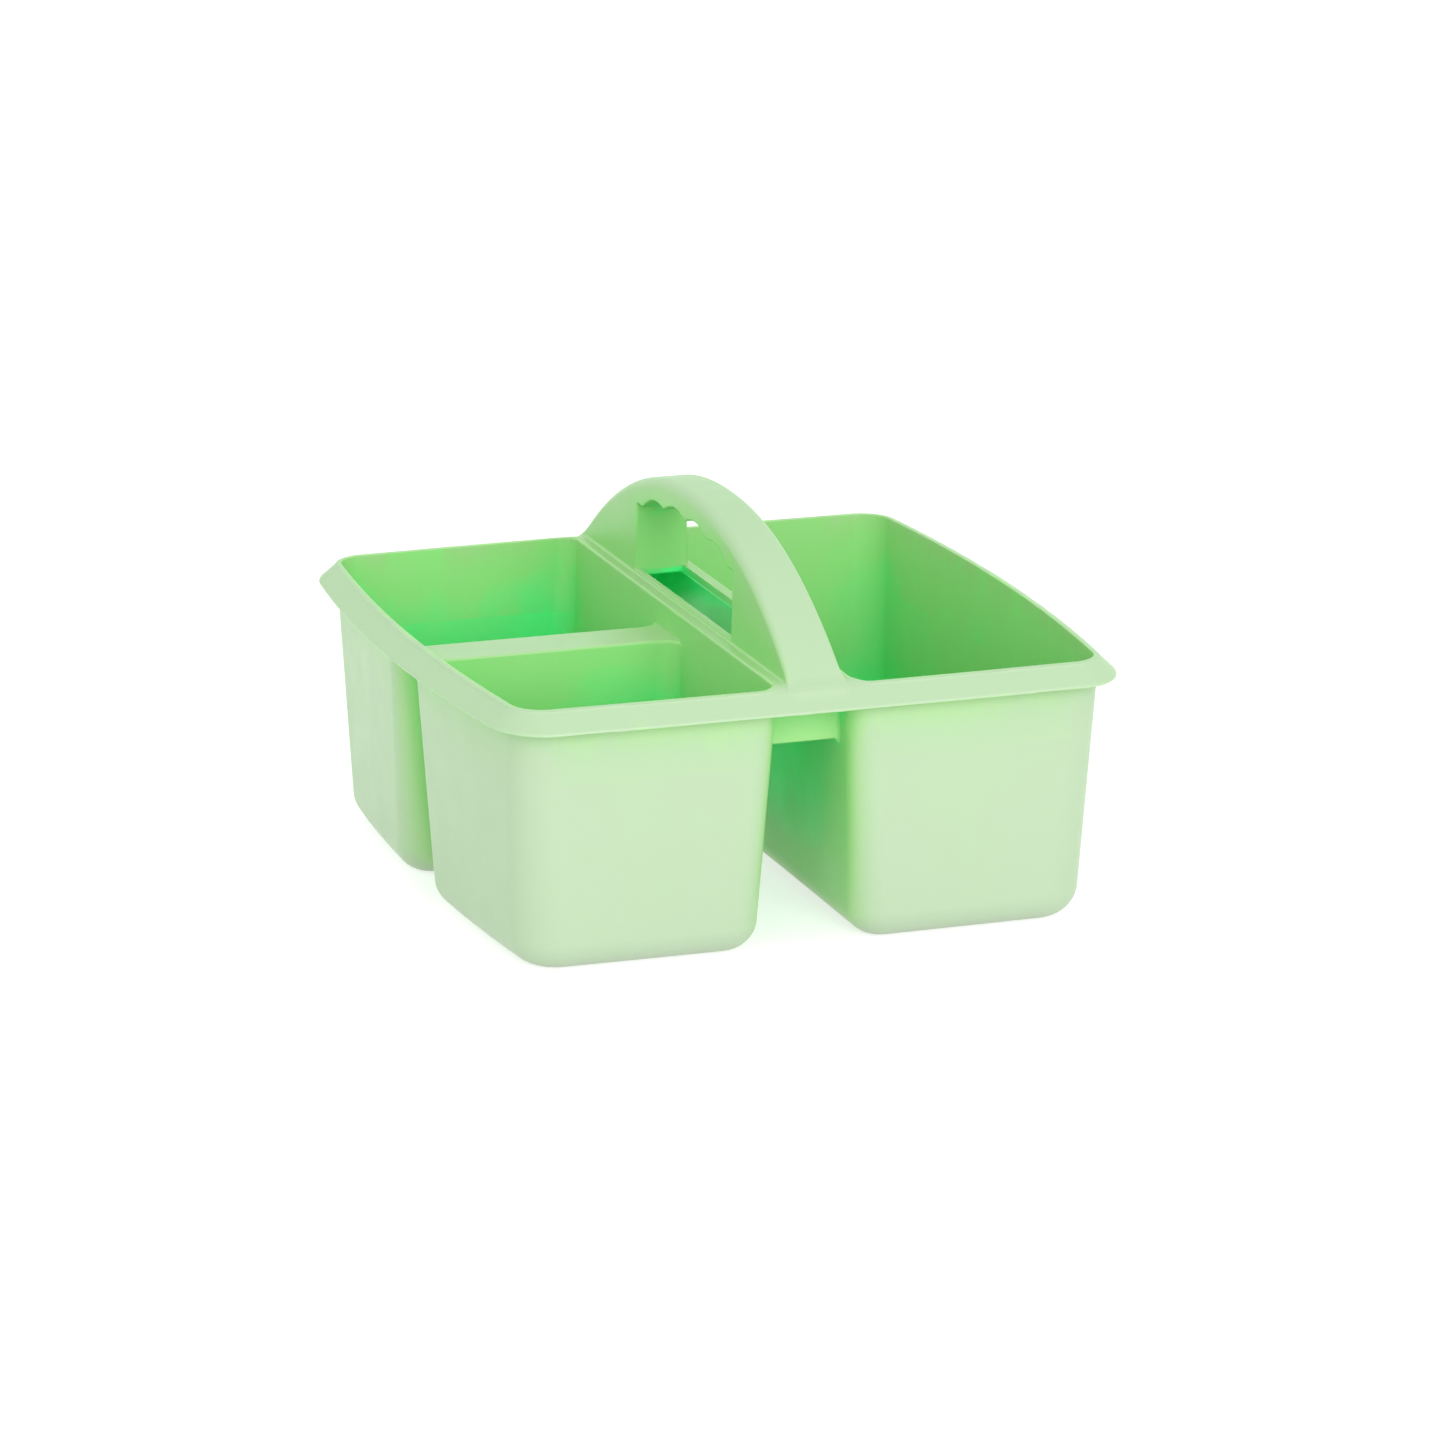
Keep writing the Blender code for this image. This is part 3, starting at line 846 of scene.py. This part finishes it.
def dress(mesh, caps):
    """True normals, openness and edge sharpness for a finished section."""
    at = points_of(mesh)
    inside_low = np.array(cad_low) / MM
    inside_high = np.array(cad_high) / MM
    normal = gradient(at)
    at = np.clip(at, inside_low, inside_high)
    mesh.vertices.foreach_set("co", (at * MM).astype(np.float32).ravel())
    sharp = np.clip(1.0 + distance(at - normal * EDGE_PROBE) / EDGE_PROBE, 0.0, 1.0)
    seen = softened(mesh, normal, openness(FIELD, at, normal))
    for name, values in (("openness", seen), ("edge", sharp)):
        layer = mesh.attributes.new(name, "FLOAT", "POINT")
        layer.data.foreach_set("value", values.astype(np.float32))
    mesh.shade_smooth()
    corner = np.empty(len(mesh.loops), np.int32)
    mesh.loops.foreach_get("vertex_index", corner)
    shown = normal[corner]
    flat = np.empty(len(mesh.polygons) * 3, np.float32)
    mesh.polygons.foreach_get("normal", flat)
    face_normal = flat.reshape(-1, 3)
    sizes = np.empty(len(mesh.polygons), np.int32)
    mesh.polygons.foreach_get("loop_total", sizes)
    owner = np.repeat(np.arange(len(sizes)), sizes)
    for point, outward in caps:
        on_plane = np.abs((at - np.array(point)) @ np.array(outward)) < 1e-3
        whole = np.bincount(owner, on_plane[corner], len(sizes)) == sizes
        capped = (whole & (np.abs(face_normal @ np.array(outward)) > 0.99))[owner]
        shown[capped] = face_normal[owner][capped]
    mesh.normals_split_custom_set(shown.tolist())
    mesh.materials.append(PLASTIC)


def add_piece(mesh, name, caps, nodes):
    """Dress a mesh and let it stand in for its nodes."""
    mesh.name = name
    dress(mesh, caps)
    obj = bpy.data.objects.new(name, mesh)
    bpy.context.scene.collection.objects.link(obj)
    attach(obj, "root")
    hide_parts(*nodes)


# Pieces: the three bins, the four sides of the rim, and the handle

SEAM_TOP = 94.0
SEAM_END = 90.0
LOFT_CAP = ((0.0, 0.0, LOFT_TOP), (0.0, 0.0, 1.0))
ABOVE_LOFT = ((0.0, 0.0, LOFT_TOP), (0.0, 0.0, -1.0))
BELOW_HANDLE = ((0.0, 0.0, SEAM_TOP), (0.0, 0.0, 1.0))
ABOVE_RIM = ((0.0, 0.0, SEAM_TOP), (0.0, 0.0, -1.0))


def build():
    """The lofted bins, then the upper moulding in five sections."""
    add_piece(lower_bin(LARGE), "large_bin_shell", [LOFT_CAP], ["large_bin"])
    add_piece(lower_bin(FRONT_SMALL), "front_small_bin_shell", [LOFT_CAP],
              ["front_small_bin"])
    add_piece(lower_bin(REAR_SMALL), "rear_small_bin_shell", [LOFT_CAP],
              ["rear_small_bin"])
    whole = upper_moulding()
    frame_planes = [ABOVE_LOFT, BELOW_HANDLE]
    middle = [((0.0, -SEAM_END, 0.0), (0.0, -1.0, 0.0)),
              ((0.0, SEAM_END, 0.0), (0.0, 1.0, 0.0))]
    sections = (
        ("rim_section_front", frame_planes + [((0.0, -SEAM_END, 0.0), (0.0, 1.0, 0.0))],
         ["rim_front", "rim_corner_front_left", "rim_corner_front_right",
          "bridge_wall_front"]),
        ("rim_section_rear", frame_planes + [((0.0, SEAM_END, 0.0), (0.0, -1.0, 0.0))],
         ["rim_rear", "rim_corner_rear_left", "rim_corner_rear_right",
          "bridge_wall_rear"]),
        ("rim_section_left", frame_planes + middle + [((0.0,) * 3, (1.0, 0.0, 0.0))],
         ["rim_left", "ledge_left", "divider_saddle", "divider_end_outer",
          "divider_end_channel"]),
        ("rim_section_right", frame_planes + middle + [((0.0,) * 3, (-1.0, 0.0, 0.0))],
         ["rim_right", "ledge_right"]),
        ("handle", [ABOVE_RIM],
         ["handle_arch", "handle_web_left", "handle_web_right", "handle_grip",
          "opening_wall_front", "opening_wall_rear"]),
    )
    for name, planes, nodes in sections:
        add_piece(section(whole, name, planes), name, planes, nodes)


build()


# Stage

FLOOR_GREY = 0.55
FLOOR_GLOW = 0.62                              # keeps the floor as pale as the photo's
AIR_COLOUR = (0.77, 1.0, 0.75, 1.0)            # shade in the photo is green, not grey
AIR_STRENGTH = 1.40
AIM = Vector((0.0, 0.0, 0.06))
LAMPS = (("key", (0.1, -2.4, 1.0), 1.3, 31.0),  # name, place, size in m, power in W
         ("top", (0.2, 0.5, 1.9), 1.4, 1.5),
         ("fill", (-1.5, -1.6, 0.9), 1.2, 4.2))

# Camera fitted to the photo: degrees, and metres from the point that it looks at
AZIMUTH, ELEVATION, ROLL = -19.67, 15.84, 0.28
LOOKED_AT = Vector((0.00422, 0.0, 0.05164))
CAMERA_DISTANCE = 2.52697
LENS, SENSOR = 182.76, 36.0


def studio():
    """Pale floor, pale surroundings and large soft lamps."""
    bpy.ops.mesh.primitive_circle_add(vertices=96, radius=6.0, fill_type="NGON")
    floor = bpy.context.object
    floor.name = "floor"
    paint = bpy.data.materials.new("pale_floor")
    paint.use_nodes = True
    shader = paint.node_tree.nodes["Principled BSDF"]
    shader.inputs["Base Color"].default_value = (FLOOR_GREY,) * 3 + (1.0,)
    shader.inputs["Roughness"].default_value = 0.9
    shader.inputs["Specular IOR Level"].default_value = 0.1
    shader.inputs["Emission Color"].default_value = (1.0, 1.0, 1.0, 1.0)
    shader.inputs["Emission Strength"].default_value = FLOOR_GLOW
    floor.data.materials.append(paint)

    world = bpy.data.worlds.new("pale_world")
    world.use_nodes = True
    background = world.node_tree.nodes["Background"]
    background.inputs["Color"].default_value = AIR_COLOUR
    background.inputs["Strength"].default_value = AIR_STRENGTH
    bpy.context.scene.world = world

    for name, place, size, power in LAMPS:
        lamp = bpy.data.lights.new(name, "AREA")
        lamp.shape = "DISK"
        lamp.size = size
        lamp.energy = power
        obj = bpy.data.objects.new(name, lamp)
        obj.location = place
        obj.rotation_euler = (AIM - Vector(place)).to_track_quat("-Z", "Y").to_euler()
        bpy.context.scene.collection.objects.link(obj)


def camera():
    """Long lens from the front left, a little above the rim."""
    azimuth, elevation, roll = (math.radians(a) for a in (AZIMUTH, ELEVATION, ROLL))
    back = Vector((math.sin(azimuth) * math.cos(elevation),
                   -math.cos(azimuth) * math.cos(elevation), math.sin(elevation)))
    right = Vector((0.0, 0.0, 1.0)).cross(back).normalized()
    up = back.cross(right)
    right, up = (math.cos(roll) * right + math.sin(roll) * up,
                 math.cos(roll) * up - math.sin(roll) * right)
    data = bpy.data.cameras.new("camera")
    data.sensor_width = SENSOR
    data.lens = LENS
    data.clip_end = 50.0
    obj = bpy.data.objects.new("camera", data)
    place = Matrix((right, up, back)).transposed().to_4x4()
    place.translation = LOOKED_AT + back * CAMERA_DISTANCE
    obj.matrix_world = place
    bpy.context.scene.collection.objects.link(obj)
    bpy.context.scene.camera = obj


studio()
camera()
bpy.context.scene.view_settings.view_transform = "Standard"
